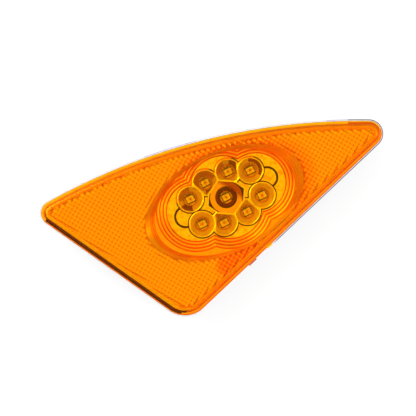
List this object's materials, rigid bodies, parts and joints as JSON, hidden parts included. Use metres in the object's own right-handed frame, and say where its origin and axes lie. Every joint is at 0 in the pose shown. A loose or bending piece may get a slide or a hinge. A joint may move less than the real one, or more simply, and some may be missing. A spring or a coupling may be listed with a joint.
{
  "type": "side repeater lamp",
  "caption": "Amber side repeater lamp for a vehicle: long wedge outline with a crowned edge, reflex field, oval window over round reflector cups, black rear housing.",
  "frame": {"origin": "under the middle of the outline, in the plane of the flat back of the housing", "axes": "+X along the lamp towards the pointed corner, +Y across it towards the crowned edge, +Z out of the lens"},
  "size_m": [0.1532, 0.073, 0.03],
  "materials": {
    "amber_lens": "clear amber moulding, polished, with reflex prisms inside",
    "bright_metallised": "bright metallised moulding",
    "board": "dark solder mask over glass-fibre board",
    "led_package": "white moulded package with a clear window",
    "tinned_brass": "tin plated",
    "component_black": "moulded epoxy with tinned ends",
    "can_aluminium": "drawn can, satin",
    "black_housing": "fine spark texture",
    "seal_rubber": "soft silicone",
    "foam_rubber": "closed-cell foam",
    "zinc_steel": "bright zinc",
    "brass_insert": "turned and knurled",
    "vent_plastic": "moulded, with a membrane"
  },
  "bodies": {
    "root": {"lens": "amber_lens", "reflector": "bright_metallised", "circuit_board": "board", "led_1": "led_package", "led_2": "led_package", "led_3": "led_package", "led_4": "led_package", "led_5": "led_package", "led_6": "led_package", "led_7": "led_package", "led_8": "led_package", "led_9": "led_package", "terminal_1": "tinned_brass", "terminal_2": "tinned_brass", "terminal_3": "tinned_brass", "resistors": "component_black", "diodes": "component_black", "current_driver": "component_black", "capacitor": "can_aluminium", "surge_suppressor": "component_black", "rear_housing": "black_housing", "housing_seal": "seal_rubber", "mounting_gasket": "foam_rubber", "board_screws": "zinc_steel", "cover_screws": "zinc_steel", "insert_left": "brass_insert", "insert_right": "brass_insert", "insert_low": "brass_insert", "vent_plug": "vent_plastic"}
  },
  "joints": []
}
